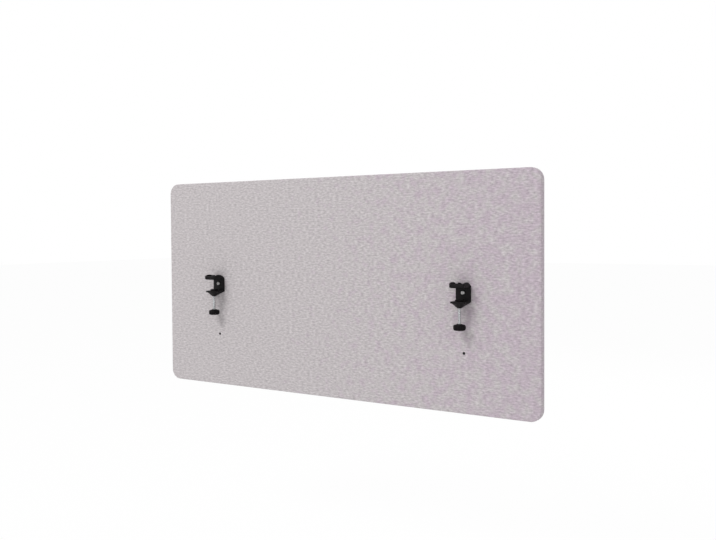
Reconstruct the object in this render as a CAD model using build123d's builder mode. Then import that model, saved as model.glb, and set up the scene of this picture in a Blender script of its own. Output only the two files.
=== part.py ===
from build123d import *
import os
from math import sqrt

# Desk screen: a fabric-covered panel with two C-clamps that grip a worktop.
# Millimetres. X runs along the panel, the clamps stand out towards -Y and Z is up.
# The origin is the middle of the panel's bottom edge, at half its thickness.

# Panel
panel_width = 1200.0
panel_height = 600.0
panel_thickness = 20.0
corner_radius = 30.0
edge_rounding = 4.0
seam_inset = 5.0

# Layers, from the outside in
cover_thickness = 0.9
padding_thickness = 1.6
board_thickness = 2.5
layer_clearance = 0.2

# Timber frame and its fill
rail_depth = 45.0
stile_width = 45.0
post_width = 60.0
infill_clearance = 0.5
dowel_radius = 2.5
dowel_length = 30.0
dowel_spacing = 24.0
dowel_clearance = 0.05

# Clamp places: the spare inserts sit below the clamps, for a second mounting height
clamp_end_distance = 200.0
clamp_height = 300.0
spare_drop = 150.0

# M6 inserts and mounting screws
insert_thread_radius = 3.0
thread_clearance = 0.05
insert_radius = 4.5
insert_length = 10.5
insert_flange_radius = 6.5
insert_flange_thickness = 1.0
insert_collar_radius = 3.7
insert_collar_recess = 0.4
collar_clearance = 0.1
screw_length = 16.0
screw_head_radius = 5.25
screw_head_height = 3.3
screw_head_rounding = 2.0
screw_socket_flats = 4.0
screw_socket_depth = 1.8
screw_end_chamfer = 0.6

# Bracket
bracket_width = 40.0
plate_thickness = 4.0
plate_corner = 3.0
plate_above_screw = 19.0
plate_hole_clearance = 0.3
jaw_thickness = 4.0
jaw_overhang = 20.0
upper_jaw_corner = 6.0
lower_jaw_corner = 12.0
lower_jaw_drop = 20.0
mouth_height = 34.5
mouth_rounding = 2.0
spindle_setback = 24.0
boss_drop = 12.5
boss_margin = 0.5
boss_tip_radius = 5.4
web_tip_share = 0.6
rim_thickness = 3.2
rim_height = 8.5
rim_end_height = 2.0
nub_boss_radius = 8.0
nub_boss_height = 5.2

# Grip pad under the upper jaw
grip_thickness = 1.5
grip_margin = 3.0
nub_radius = 2.4
nub_clearance = 0.1
nub_head_radius = 3.6
nub_head_height = 2.4

# Clamp screw: M8 with a swivel shoe, a hexagon head and a moulded knob
spindle_radius = 4.0
bore_clearance = 0.06
spindle_tip_chamfer = 0.6
neck_radius = 2.4
neck_length = 1.5
button_radius = 3.4
button_height = 1.1
swivel_clearance = 0.15
shoe_radius = 11.0
shoe_thickness = 3.2
shoe_rounding = 0.8
facing_thickness = 1.0
facing_margin = 1.0
running_gap = 0.3

# Knob
knob_radius = 15.5
knob_height = 14.5
knob_drop = 52.5
knob_rounding = 5.0
knob_hub_radius = 7.5
knob_hub_height = 1.5
flute_count = 12
flute_radius = 3.0
flute_depth = 0.9
head_flats = 13.0
head_height = 5.3
head_clearance = 0.1
cap_thickness = 1.6
cap_radius = 9.0

# One overrun serves every cut
overrun = 1.0

# Places worked out from the sizes above
panel_face = panel_thickness / 2
padding_face = panel_face - cover_thickness
board_face = padding_face - padding_thickness
core_face = board_face - board_thickness
core_thickness = 2 * core_face
seam_depth = panel_face - seam_inset
panel_middle = panel_height / 2
clamp_x = panel_width / 2 - clamp_end_distance
spare_height = clamp_height - spare_drop
insert_places = [(x, z) for x in (-clamp_x, clamp_x) for z in (clamp_height, spare_height)]
clamp_places = {"left": -clamp_x, "right": clamp_x}
cover_hole_radius = insert_collar_radius + collar_clearance
insert_collar_length = panel_face - insert_collar_recess - board_face

core_inset = cover_thickness + layer_clearance
frame_bottom = core_inset
frame_top = panel_height - core_inset
frame_side = panel_width / 2 - core_inset
bay_bottom = frame_bottom + rail_depth
bay_top = frame_top - rail_depth
bay_height = bay_top - bay_bottom
stile_x = frame_side - stile_width / 2

# The boards stay clear of the cover's rounded edge: how far in it stands at their outer face
inner_rounding_reach = edge_rounding - cover_thickness
rounding_depth_at_board = max(edge_rounding - cover_thickness - padding_thickness, 0)
rounding_at_board = edge_rounding - sqrt(inner_rounding_reach**2 - rounding_depth_at_board**2)
board_inset = rounding_at_board + layer_clearance

spindle_y = -panel_face - spindle_setback
plate_front = -panel_face - plate_thickness
lower_jaw_top = clamp_height - lower_jaw_drop
lower_jaw_low = lower_jaw_top - jaw_thickness
upper_jaw_low = lower_jaw_top + mouth_height
upper_jaw_top = upper_jaw_low + jaw_thickness
plate_top = clamp_height + plate_above_screw
boss_low = lower_jaw_low - boss_drop
web_tip = web_tip_share * boss_tip_radius
jaw_tip = spindle_y - jaw_overhang
rim_top = upper_jaw_top + rim_height
rim_end = upper_jaw_top + rim_end_height

shoe_low = lower_jaw_top + running_gap
shoe_top = shoe_low + shoe_thickness
facing_top = shoe_top + facing_thickness
neck_low = shoe_low - running_gap
knob_top = lower_jaw_low - knob_drop
knob_low = knob_top - knob_height
knob_hub_top = knob_top + knob_hub_height
head_low = knob_low + cap_thickness
head_top = head_low + head_height


def export(piece, name):
    piece.label = name
    export_step(piece, f"parts/{name}.step")


def panel_outline(inset):
    with Locations((0, panel_middle)):
        RectangleRounded(panel_width - 2 * inset, panel_height - 2 * inset, corner_radius - inset)


os.makedirs("parts", exist_ok=True)

# Front cover: one woven piece over the front face and round the edges, up to the rear seam
with BuildPart() as front_cover:
    with BuildSketch(Plane.XZ.offset(-seam_depth)):
        panel_outline(0)
    extrude(amount=seam_depth + panel_face)
    fillet(front_cover.faces().sort_by(Axis.Y)[0].edges(), radius=edge_rounding)
    offset(amount=-cover_thickness, openings=front_cover.faces().sort_by(Axis.Y)[-1])
    with BuildSketch(Plane.XZ.offset(padding_face - overrun)):
        with Locations(*insert_places):
            Circle(cover_hole_radius)
    extrude(amount=cover_thickness + 2 * overrun, mode=Mode.SUBTRACT)
export(front_cover.part, "front_cover")

# Rear cover: closes the back, sewn to the front cover along the seam
with BuildPart() as rear_cover:
    with BuildSketch(Plane.XZ.offset(-panel_face)):
        panel_outline(0)
    extrude(amount=seam_inset)
    fillet(rear_cover.faces().sort_by(Axis.Y)[-1].edges(), radius=edge_rounding)
    offset(amount=-cover_thickness, openings=rear_cover.faces().sort_by(Axis.Y)[0])
export(rear_cover.part, "rear_cover")

# Padding: a thin soft layer under each cover, out to where the edge starts to round
with BuildPart() as front_padding:
    with BuildSketch(Plane.XZ.offset(board_face)):
        panel_outline(edge_rounding)
        with Locations(*insert_places):
            Circle(cover_hole_radius, mode=Mode.SUBTRACT)
    extrude(amount=padding_thickness)
export(front_padding.part, "front_padding")

with BuildPart() as rear_padding:
    with BuildSketch(Plane.XZ.offset(-padding_face)):
        panel_outline(edge_rounding)
    extrude(amount=padding_thickness)
export(rear_padding.part, "rear_padding")

# Boards: thin soft boards that hold pins. The front one lets the insert flanges in flush
with BuildPart() as front_board:
    with BuildSketch(Plane.XZ.offset(core_face)):
        panel_outline(board_inset)
        with Locations(*insert_places):
            Circle(insert_radius, mode=Mode.SUBTRACT)
    extrude(amount=board_thickness)
    with BuildSketch(Plane.XZ.offset(board_face - insert_flange_thickness)):
        with Locations(*insert_places):
            Circle(insert_flange_radius)
    extrude(amount=insert_flange_thickness + overrun, mode=Mode.SUBTRACT)
export(front_board.part, "front_board")

with BuildPart() as rear_board:
    with BuildSketch(Plane.XZ.offset(-board_face)):
        panel_outline(board_inset)
    extrude(amount=board_thickness)
export(rear_board.part, "rear_board")

# Dowels: two across each joint between an upright and a rail
upright_places = (-stile_x, -clamp_x, clamp_x, stile_x)
dowel_x_places = [x + side * dowel_spacing / 2 for x in upright_places for side in (-1, 1)]
dowel_places = [(x, 0) for x in dowel_x_places]
dowel_hole_depth = dowel_length / 2 + dowel_clearance

with BuildPart() as frame_dowels:
    for joint_height in (bay_bottom, bay_top):
        with BuildSketch(Plane.XY.offset(joint_height - dowel_length / 2)):
            with Locations(*dowel_places):
                Circle(dowel_radius)
        extrude(amount=dowel_length)
export(frame_dowels.part, "frame_dowels")

# Rails: they run the whole width and carry the panel's round corners
rail_middles = {"top_rail": frame_top - rail_depth / 2, "bottom_rail": frame_bottom + rail_depth / 2}
for name, rail_middle in rail_middles.items():
    with BuildPart() as rail:
        with BuildSketch(Plane.XZ.offset(-core_face)):
            panel_outline(core_inset)
            with Locations((0, rail_middle)):
                Rectangle(panel_width, rail_depth, mode=Mode.INTERSECT)
        extrude(amount=core_thickness)
        for joint_height in (bay_bottom, bay_top):
            with BuildSketch(Plane.XY.offset(joint_height - dowel_hole_depth)):
                with Locations(*dowel_places):
                    Circle(dowel_radius + dowel_clearance)
            extrude(amount=2 * dowel_hole_depth, mode=Mode.SUBTRACT)
    export(rail.part, name)

# Stiles and posts: uprights between the rails. The posts stand behind the clamps
uprights = {
    "left_stile": (-stile_x, stile_width),
    "left_post": (-clamp_x, post_width),
    "right_post": (clamp_x, post_width),
    "right_stile": (stile_x, stile_width),
}
insert_hole_depth = insert_length - board_thickness
for name, (upright_x, upright_width) in uprights.items():
    with BuildPart() as upright:
        with BuildSketch(Plane.XZ.offset(-core_face)):
            with Locations((upright_x, panel_middle)):
                Rectangle(upright_width, bay_height)
        extrude(amount=core_thickness)
        for joint_height in (bay_bottom, bay_top):
            with BuildSketch(Plane.XY.offset(joint_height - dowel_hole_depth)):
                with Locations(*dowel_places):
                    Circle(dowel_radius + dowel_clearance)
            extrude(amount=2 * dowel_hole_depth, mode=Mode.SUBTRACT)
        if name.endswith("post"):
            with BuildSketch(Plane.XZ.offset(core_face - insert_hole_depth)):
                with Locations((upright_x, clamp_height), (upright_x, spare_height)):
                    Circle(insert_radius)
            extrude(amount=insert_hole_depth + overrun, mode=Mode.SUBTRACT)
    export(upright.part, name)

# Infill: sound-absorbing felt that fills each bay of the frame
stile_inner = stile_x - stile_width / 2
post_half = post_width / 2
bays = {
    "infill_left": (-stile_inner, -clamp_x - post_half),
    "infill_middle": (-clamp_x + post_half, clamp_x - post_half),
    "infill_right": (clamp_x + post_half, stile_inner),
}
for name, (bay_start, bay_end) in bays.items():
    with BuildPart() as infill:
        with BuildSketch(Plane.XZ.offset(-core_face)):
            with Locations(((bay_start + bay_end) / 2, panel_middle)):
                Rectangle(bay_end - bay_start - 2 * infill_clearance, bay_height - 2 * infill_clearance)
        extrude(amount=core_thickness)
    export(infill.part, name)

# Threaded inserts: flanged M6 sleeves set in the posts from the front. Their collars pass through the
# padding and the cover, so that a bracket pulls up against metal and doesn't crush the soft layer
with BuildPart() as threaded_inserts:
    with BuildSketch(Plane.XZ.offset(board_face - insert_length)):
        with Locations(*insert_places):
            Circle(insert_radius)
    extrude(amount=insert_length)
    with BuildSketch(Plane.XZ.offset(board_face - insert_flange_thickness)):
        with Locations(*insert_places):
            Circle(insert_flange_radius)
    extrude(amount=insert_flange_thickness)
    with BuildSketch(Plane.XZ.offset(board_face)):
        with Locations(*insert_places):
            Circle(insert_collar_radius)
    extrude(amount=insert_collar_length)
    with BuildSketch(Plane.XZ.offset(board_face - insert_length)):
        with Locations(*insert_places):
            Circle(insert_thread_radius + thread_clearance)
    extrude(amount=insert_length + insert_collar_length, mode=Mode.SUBTRACT)
export(threaded_inserts.part, "threaded_inserts")

# Mounting screws: button heads with a hexagon socket, one through each back plate
screw_places = [(x, clamp_height) for x in clamp_places.values()]
hexagon_share = 1 / sqrt(3)
with BuildPart() as mount_screws:
    with BuildSketch(Plane.XZ.offset(-plate_front)):
        with Locations(*screw_places):
            Circle(screw_head_radius)
    extrude(amount=screw_head_height)
    fillet(mount_screws.edges().group_by(Axis.Y)[0], radius=screw_head_rounding)
    with BuildSketch(Plane.XZ.offset(-plate_front - screw_length)):
        with Locations(*screw_places):
            Circle(insert_thread_radius)
    extrude(amount=screw_length)
    chamfer(mount_screws.edges().group_by(Axis.Y)[-1], length=screw_end_chamfer)
    with BuildSketch(Plane.XZ.offset(-plate_front + screw_head_height - screw_socket_depth)):
        with Locations(*screw_places):
            RegularPolygon(screw_socket_flats * hexagon_share, side_count=6)
    extrude(amount=screw_socket_depth, mode=Mode.SUBTRACT)
export(mount_screws.part, "mount_screws")


def jaw_outline(x, corner, inset=0, mode=Mode.ADD):
    """Square about the spindle with round front corners, run back to the plate at full width."""
    with Locations((x, spindle_y)):
        width = bracket_width - 2 * inset
        RectangleRounded(width, 2 * (jaw_overhang - inset), corner - inset, mode=mode)
    with Locations((x, (plate_front + spindle_y) / 2)):
        Rectangle(width, plate_front - spindle_y, mode=mode)


def make_bracket(x):
    with BuildPart() as bracket:
        # Back plate, flat on the panel
        with BuildSketch(Plane.XZ.offset(panel_face)):
            with Locations((x, (lower_jaw_low + plate_top) / 2)):
                RectangleRounded(bracket_width, plate_top - lower_jaw_low, plate_corner)
        extrude(amount=plate_thickness)
        # Jaws, with a small radius where they leave the plate
        for jaw_low, corner in ((lower_jaw_low, lower_jaw_corner), (upper_jaw_low, upper_jaw_corner)):
            with BuildSketch(Plane.XY.offset(jaw_low)):
                jaw_outline(x, corner)
            extrude(amount=jaw_thickness)
        mouth_edges = bracket.edges().filter_by(Axis.X).filter_by_position(Axis.Y, plate_front, plate_front)
        fillet(mouth_edges.filter_by_position(Axis.Z, lower_jaw_top, upper_jaw_low), radius=mouth_rounding)
        # Rim round the upper jaw, with its top cut to an arch that is highest near the spindle
        with BuildSketch(Plane.XY.offset(upper_jaw_top)):
            jaw_outline(x, upper_jaw_corner)
            jaw_outline(x, upper_jaw_corner, rim_thickness, Mode.SUBTRACT)
        extrude(amount=rim_height)
        with BuildSketch(Plane.YZ.offset(x - bracket_width)):
            with BuildLine():
                ThreePointArc((jaw_tip - overrun, rim_end), (spindle_y, rim_top), (plate_front + overrun, plate_top))
                Polyline(
                    (plate_front + overrun, plate_top),
                    (plate_front + overrun, rim_top + overrun),
                    (jaw_tip - overrun, rim_top + overrun),
                    (jaw_tip - overrun, rim_end),
                )
            make_face()
        extrude(amount=2 * bracket_width, mode=Mode.SUBTRACT)
        # Small boss for the pad's nub
        with BuildSketch(Plane.XY.offset(upper_jaw_top)):
            with Locations((x, spindle_y)):
                Circle(nub_boss_radius)
        extrude(amount=nub_boss_height)
        # Conical boss under the lower jaw, tapped for the spindle
        with BuildSketch(Plane.XY.offset(boss_low)):
            with Locations((x, spindle_y)):
                Circle(boss_tip_radius)
        with BuildSketch(Plane.XY.offset(lower_jaw_low)):
            with Locations((x, spindle_y)):
                Circle(bracket_width / 2 - boss_margin)
        loft()
        # Web that widens from the boss's tip back to the plate's lower corners
        with BuildSketch(Plane.XY.offset(boss_low)):
            with Locations((x, spindle_y + web_tip / 2)):
                Rectangle(2 * web_tip, web_tip)
        with BuildSketch(Plane.XY.offset(lower_jaw_low)):
            with Locations((x, (plate_front + spindle_y) / 2)):
                Rectangle(bracket_width, plate_front - spindle_y)
        loft()
        with BuildSketch(Plane.XY.offset(boss_low)):
            with Locations((x, spindle_y)):
                Circle(spindle_radius + bore_clearance)
        extrude(amount=lower_jaw_top - boss_low, mode=Mode.SUBTRACT)
        # Holes for the pad's nub and the mounting screw
        with BuildSketch(Plane.XY.offset(upper_jaw_low)):
            with Locations((x, spindle_y)):
                Circle(nub_radius + nub_clearance)
        extrude(amount=jaw_thickness + nub_boss_height, mode=Mode.SUBTRACT)
        with BuildSketch(Plane.XZ.offset(panel_face)):
            with Locations((x, clamp_height)):
                Circle(insert_thread_radius + plate_hole_clearance)
        extrude(amount=plate_thickness, mode=Mode.SUBTRACT)
    return bracket.part


def make_jaw_pad(x):
    grip_low = upper_jaw_low - grip_thickness
    nub_top = upper_jaw_top + nub_boss_height
    with BuildPart() as jaw_pad:
        with BuildSketch(Plane.XY.offset(grip_low)):
            jaw_outline(x, upper_jaw_corner, grip_margin)
            with Locations((x, plate_front)):
                Rectangle(bracket_width, 2 * grip_margin, mode=Mode.SUBTRACT)
        extrude(amount=grip_thickness)
        with BuildSketch(Plane.XY.offset(upper_jaw_low)):
            with Locations((x, spindle_y)):
                Circle(nub_radius)
        extrude(amount=nub_top - upper_jaw_low)
        with BuildSketch(Plane.XY.offset(nub_top)):
            with Locations((x, spindle_y)):
                Circle(nub_head_radius)
        extrude(amount=nub_head_height)
        fillet(jaw_pad.edges().group_by(Axis.Z)[-1], radius=nub_head_height / 2)
    return jaw_pad.part


def make_spindle(x):
    with BuildPart() as spindle:
        # Hexagon head inside the knob
        with BuildSketch(Plane.XY.offset(head_low)):
            with Locations((x, spindle_y)):
                RegularPolygon(head_flats * hexagon_share, side_count=6)
        extrude(amount=head_height)
        # Shank, then the neck and button that the shoe swivels on
        with BuildSketch(Plane.XY.offset(head_top)):
            with Locations((x, spindle_y)):
                Circle(spindle_radius)
        extrude(amount=neck_low - head_top)
        chamfer(spindle.edges().group_by(Axis.Z)[-1], length=spindle_tip_chamfer)
        with BuildSketch(Plane.XY.offset(neck_low)):
            with Locations((x, spindle_y)):
                Circle(neck_radius)
        extrude(amount=neck_length)
        with BuildSketch(Plane.XY.offset(neck_low + neck_length)):
            with Locations((x, spindle_y)):
                Circle(button_radius)
        extrude(amount=button_height)
    return spindle.part


def make_pressure_plate(x):
    cavity_low = neck_low + neck_length - swivel_clearance
    with BuildPart() as pressure_plate:
        with BuildSketch(Plane.XY.offset(shoe_low)):
            with Locations((x, spindle_y)):
                Circle(shoe_radius)
        extrude(amount=shoe_thickness)
        fillet(pressure_plate.edges().group_by(Axis.Z)[0], radius=shoe_rounding)
        with BuildSketch(Plane.XY.offset(shoe_low)):
            with Locations((x, spindle_y)):
                Circle(neck_radius + swivel_clearance)
        extrude(amount=cavity_low - shoe_low, mode=Mode.SUBTRACT)
        with BuildSketch(Plane.XY.offset(cavity_low)):
            with Locations((x, spindle_y)):
                Circle(button_radius + swivel_clearance)
        extrude(amount=button_height + 2 * swivel_clearance, mode=Mode.SUBTRACT)
    return pressure_plate.part


def make_pad_facing(x):
    with BuildPart() as pad_facing:
        with BuildSketch(Plane.XY.offset(shoe_top)):
            with Locations((x, spindle_y)):
                Circle(shoe_radius - facing_margin)
        extrude(amount=facing_thickness)
    return pad_facing.part


def make_knob(x):
    flute_offset = knob_radius + flute_radius - flute_depth
    with BuildPart() as knob:
        with BuildSketch(Plane.XY.offset(knob_low)):
            with Locations((x, spindle_y)):
                Circle(knob_radius)
        extrude(amount=knob_height)
        fillet(knob.edges().filter_by(GeomType.CIRCLE), radius=knob_rounding)
        with BuildSketch(Plane.XY.offset(knob_top)):
            with Locations((x, spindle_y)):
                Circle(knob_hub_radius)
        extrude(amount=knob_hub_height)
        # Grip flutes round the rim
        with BuildSketch(Plane.XY.offset(knob_low)):
            with Locations((x, spindle_y)):
                with PolarLocations(flute_offset, flute_count):
                    Circle(flute_radius)
        extrude(amount=knob_height, mode=Mode.SUBTRACT)
        # Bore for the shank, pocket for the head and seat for the cap
        with BuildSketch(Plane.XY.offset(knob_low)):
            with Locations((x, spindle_y)):
                Circle(spindle_radius + head_clearance)
        extrude(amount=knob_hub_top - knob_low, mode=Mode.SUBTRACT)
        with BuildSketch(Plane.XY.offset(knob_low)):
            with Locations((x, spindle_y)):
                RegularPolygon((head_flats + head_clearance) * hexagon_share, side_count=6)
        extrude(amount=head_top - knob_low, mode=Mode.SUBTRACT)
        with BuildSketch(Plane.XY.offset(knob_low)):
            with Locations((x, spindle_y)):
                Circle(cap_radius + head_clearance)
        extrude(amount=cap_thickness, mode=Mode.SUBTRACT)
    return knob.part


def make_knob_cap(x):
    with BuildPart() as knob_cap:
        with BuildSketch(Plane.XY.offset(knob_low)):
            with Locations((x, spindle_y)):
                Circle(cap_radius)
        extrude(amount=cap_thickness)
    return knob_cap.part


clamp_pieces = {
    "bracket": make_bracket,
    "jaw_pad": make_jaw_pad,
    "spindle": make_spindle,
    "pressure_plate": make_pressure_plate,
    "pad_facing": make_pad_facing,
    "knob": make_knob,
    "knob_cap": make_knob_cap,
}
for side, x in clamp_places.items():
    for piece_name, make_piece in clamp_pieces.items():
        export(make_piece(x), f"{side}_{piece_name}")
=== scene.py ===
from math import atan2, copysign, cos, hypot, pi, radians, sin, sqrt

import bmesh
import bpy
from bpy.props import FloatProperty, FloatVectorProperty, PointerProperty
from mathutils import Matrix, Vector
from mathutils.noise import noise


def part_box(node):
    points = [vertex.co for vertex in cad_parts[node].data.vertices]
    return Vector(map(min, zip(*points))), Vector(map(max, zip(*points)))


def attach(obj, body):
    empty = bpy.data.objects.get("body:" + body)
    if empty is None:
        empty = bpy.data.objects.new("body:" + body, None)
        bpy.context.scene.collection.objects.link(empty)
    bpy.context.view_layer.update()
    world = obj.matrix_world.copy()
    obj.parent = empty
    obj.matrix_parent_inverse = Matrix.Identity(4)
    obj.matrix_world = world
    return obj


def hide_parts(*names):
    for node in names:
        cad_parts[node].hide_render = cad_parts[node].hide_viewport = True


bl_info = {
    "name": "Desk Screen",
    "version": (1, 0, 0),
    "blender": (4, 5, 0),
    "location": "3D View > Sidebar > Desk Screen",
    "description": "Cloth covers, fixings and clamps for a fabric-covered desk screen",
    "category": "Object",
}

# The fixed frame, in metres: X along the panel, the clamps towards -Y, Z up
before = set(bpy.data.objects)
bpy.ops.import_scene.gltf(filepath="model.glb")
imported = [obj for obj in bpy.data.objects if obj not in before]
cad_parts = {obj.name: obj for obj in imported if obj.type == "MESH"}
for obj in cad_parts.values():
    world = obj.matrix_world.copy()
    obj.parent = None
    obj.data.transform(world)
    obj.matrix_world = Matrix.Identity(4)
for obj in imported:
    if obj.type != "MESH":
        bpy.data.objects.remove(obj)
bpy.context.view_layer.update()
SIDES = ("left", "right")

front_low, front_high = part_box("front_cover")
HALF_WIDTH = front_high.x
HALF_HEIGHT = (front_high.z - front_low.z) / 2
MIDDLE_HEIGHT = (front_high.z + front_low.z) / 2
FRONT_FACE = front_low.y
SEAM = front_high.y
REAR_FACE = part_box("rear_cover")[1].y

# How finely shapes are divided
CORNER_LINES = 12
EDGE_STEPS = 6
TUCK_STEPS = 3
LATHE_STEPS = 64
SMALL_LATHE_STEPS = 48
KNOB_STEPS = 192
THREAD_STEPS = 24

# How many gathers the cloth has round each of the panel's corners
CORNER_GATHERS = 6


# Settings that a user would change


def length(name, description, default):
    """A size in metres."""
    return FloatProperty(
        name=name, description=description, default=default, min=0, unit="LENGTH", precision=5
    )


def place(name, description, default):
    """A point in metres."""
    return FloatVectorProperty(
        name=name, description=description, default=default, subtype="TRANSLATION", unit="LENGTH", precision=5
    )


def turn(name, description, default):
    """An angle in radians."""
    return FloatProperty(
        name=name, description=description, default=default, subtype="ANGLE", unit="ROTATION", precision=4
    )


def colour(name, description, default):
    """A linear colour."""
    return FloatVectorProperty(
        name=name, description=description, default=default, subtype="COLOR", min=0, max=1
    )


def amount(name, description, default):
    """A plain number, such as a share or a strength."""
    return FloatProperty(name=name, description=description, default=default, min=0, precision=4)


def power(name, description, default):
    """A lamp's power in watts."""
    return FloatProperty(name=name, description=description, default=default, min=0, unit="POWER")


class CoverSettings(bpy.types.PropertyGroup):
    """The two woven covers and their seam."""

    thickness: length("Cloth thickness", "Thickness of the woven cover", 0.0009)
    corner_radius: length("Corner radius", "Radius of the panel's corners", 0.030)
    edge_rounding: length("Edge rounding", "Radius of the cloth where it turns over the edge", 0.004)
    grid_step: length("Grid step", "Size of the cloth's faces away from the corners", 0.010)
    wall_step: length("Wall step", "Size of the cloth's faces down the panel's edge", 0.002)
    tuck_radius: length("Tuck radius", "Radius where the cloth turns in at the seam", 0.0008)
    tuck_depth: length("Tuck depth", "How far the cloth goes in at the seam", 0.0010)
    seam_gap: length("Seam gap", "Space between the two covers at the seam", 0.00006)
    crown: length("Crown", "How far the soft layer lifts the face's middle", 0.0004)
    crown_run: length("Crown run", "Distance from the edge over which the face rises", 0.050)
    ripple: length("Ripple", "Height of the slow unevenness of the face", 0.00010)
    ripple_length: length("Ripple length", "Length of the slow unevenness of the face", 0.110)
    plate_dip: length("Plate dip", "How far a clamp's plate presses the cloth in", 0.00005)
    plate_run: length("Plate run", "Distance from a plate over which the cloth rises again", 0.012)
    gather: length("Gather", "Depth of the small gathers round the corners", 0.00022)
    hole_radius: length("Hole radius", "Radius of the hole at each threaded insert", 0.0038)
    hole_dimple: length("Hole dimple", "Width of the dimple round each hole", 0.0010)
    yarn_pitch: length("Yarn pitch", "Distance between neighbouring yarns", 0.0009)
    yarn_sway: length("Yarn sway", "How far the yarns wander from straight lines", 0.0004)
    slub_length: length("Slub length", "Length of a change of shade along a yarn", 0.009)
    pale_yarn: colour("Pale yarn", "The lightest shade in the heather", (0.74, 0.70, 0.71))
    warm_yarn: colour("Warm yarn", "The middle shade in the heather", (0.58, 0.54, 0.55))
    dark_yarn: colour("Dark yarn", "The darkest shade in the heather", (0.42, 0.385, 0.40))
    mauve_tint: colour("Mauve tint", "Multiplies the heather where it drifts to mauve", (0.95, 0.87, 0.96))
    stitch_spacing: length("Stitch spacing", "Distance between the seam's stitches", 0.006)
    stitch_length: length("Stitch length", "Length of a stitch across the seam", 0.0026)
    stitch_radius: length("Stitch radius", "Radius of the seam's thread", 0.00026)
    thread_colour: colour("Thread", "Colour of the seam's thread", (0.40, 0.37, 0.38))
    # Painted shadow: the colour shown in the hollows between the thread's strands
    painted_strand_shadow: colour("Thread shade", "Colour between the thread's strands", (0.30, 0.27, 0.28))


class InnerSettings(bpy.types.PropertyGroup):
    """The layers and the frame inside the covers, and the fixings."""

    felt_rounding: length("Felt rounding", "Radius of a felt slab's edges", 0.0012)
    felt_roughness: length("Felt unevenness", "Height of a felt slab's bumps", 0.00018)
    padding_felt: colour("Padding felt", "Colour of the soft layer under the covers", (0.80, 0.80, 0.78))
    infill_felt: colour("Infill felt", "Colour of the sound-absorbing infill", (0.35, 0.36, 0.38))
    pin_board: colour("Pin board", "Colour of the soft fibre boards", (0.55, 0.42, 0.28))
    timber: colour("Timber", "Colour of the frame's early wood", (0.74, 0.57, 0.38))
    late_wood: colour("Late wood", "Colour of the darker grain lines", (0.55, 0.37, 0.21))
    insert_steel: colour("Insert steel", "Colour of the black oxide on the inserts", (0.06, 0.06, 0.062))
    screw_steel: colour("Screw steel", "Colour of the mounting screws", (0.42, 0.41, 0.41))
    collar_radius: length("Collar radius", "Radius of an insert's collar in the cover's hole", 0.0037)
    flange_radius: length("Flange radius", "Radius of an insert's flange", 0.0065)
    flange_thickness: length("Flange thickness", "Thickness of an insert's flange", 0.0010)
    barrel_radius: length("Barrel radius", "Outer radius of an insert's barrel", 0.0045)
    thread_radius: length("Thread radius", "Radius of the mounting screw's thread", 0.0030)
    thread_clearance: length("Thread clearance", "Space between screw and insert", 0.00005)
    thread_depth: length("Thread depth", "Depth of the mounting screw's thread", 0.0005)
    thread_pitch: length("Thread pitch", "Pitch of the mounting screw's thread", 0.0010)
    head_radius: length("Head radius", "Radius of the mounting screw's head", 0.00525)
    head_height: length("Head height", "Height of the mounting screw's head", 0.0033)
    head_rounding: length("Head rounding", "Radius of the head's shoulder", 0.0020)
    socket_flats: length("Socket flats", "Hexagon socket, across flats", 0.0040)
    socket_depth: length("Socket depth", "Depth of the hexagon socket", 0.0018)


class ClampSettings(bpy.types.PropertyGroup):
    """The two screw clamps."""

    casting_rounding: length("Casting rounding", "Radius on the bracket's edges", 0.0007)
    moulding_rounding: length("Moulding rounding", "Radius on small moulded edges", 0.0003)
    plate_above_screw: length("Plate above screw", "Back plate's top, above its screw", 0.019)
    plate_below_screw: length("Plate below screw", "Back plate's foot, below its screw", 0.024)
    spindle_radius: length("Spindle radius", "Radius of the clamp screw's thread", 0.0040)
    spindle_core: length("Spindle core", "Radius at the foot of the thread", 0.00330)
    spindle_pitch: length("Spindle pitch", "Pitch of the clamp screw's thread", 0.00125)
    spindle_head_flats: length("Spindle head", "Hexagon head, across flats", 0.0130)
    spindle_head_height: length("Spindle head height", "Height of the hexagon head", 0.0053)
    plain_shank: length("Plain shank", "Unthreaded length above the head", 0.0068)
    neck_radius: length("Neck radius", "Radius of the neck that the shoe turns on", 0.0024)
    neck_length: length("Neck length", "Length of that neck", 0.0015)
    button_radius: length("Button radius", "Radius of the button that holds the shoe", 0.0034)
    button_height: length("Button height", "Height of that button", 0.0011)
    tip_chamfer: length("Tip chamfer", "Chamfer at the top of the thread", 0.0006)
    swivel_clearance: length("Swivel clearance", "Space between button and shoe", 0.00015)
    shoe_rounding: length("Shoe rounding", "Radius under the shoe's rim", 0.0008)
    groove_spacing: length("Groove spacing", "Distance between the facing's grooves", 0.0020)
    groove_depth: length("Groove depth", "Depth of the facing's grooves", 0.0003)
    knob_radius: length("Knob radius", "Radius of the hand knob", 0.0155)
    knob_rounding: length("Knob rounding", "Radius of the knob's shoulders", 0.0050)
    hub_radius: length("Hub radius", "Radius of the knob's hub", 0.0075)
    hub_height: length("Hub height", "Height of the knob's hub", 0.0015)
    flute_depth: length("Flute depth", "Depth of the knob's finger flutes", 0.0009)
    flute_share: amount("Flute share", "Share of the knob's rim that the flutes take", 0.55)
    flutes: amount("Flutes", "Number of finger flutes", 12)
    cap_radius: length("Cap radius", "Radius of the knob's end cap", 0.0090)
    cap_clearance: length("Cap clearance", "Space round the cap, and round the shank", 0.0001)
    powder_coat: colour("Powder coat", "Colour of the brackets", (0.0046, 0.0036, 0.0041))
    moulded_black: colour("Moulded black", "Colour of the knobs and shoes", (0.0044, 0.0032, 0.0038))
    rubber: colour("Rubber", "Colour of the grip pads and facings", (0.0045, 0.0045, 0.0045))
    spindle_steel: colour("Spindle steel", "Colour of the clamp screws", (0.66, 0.67, 0.68))


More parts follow.
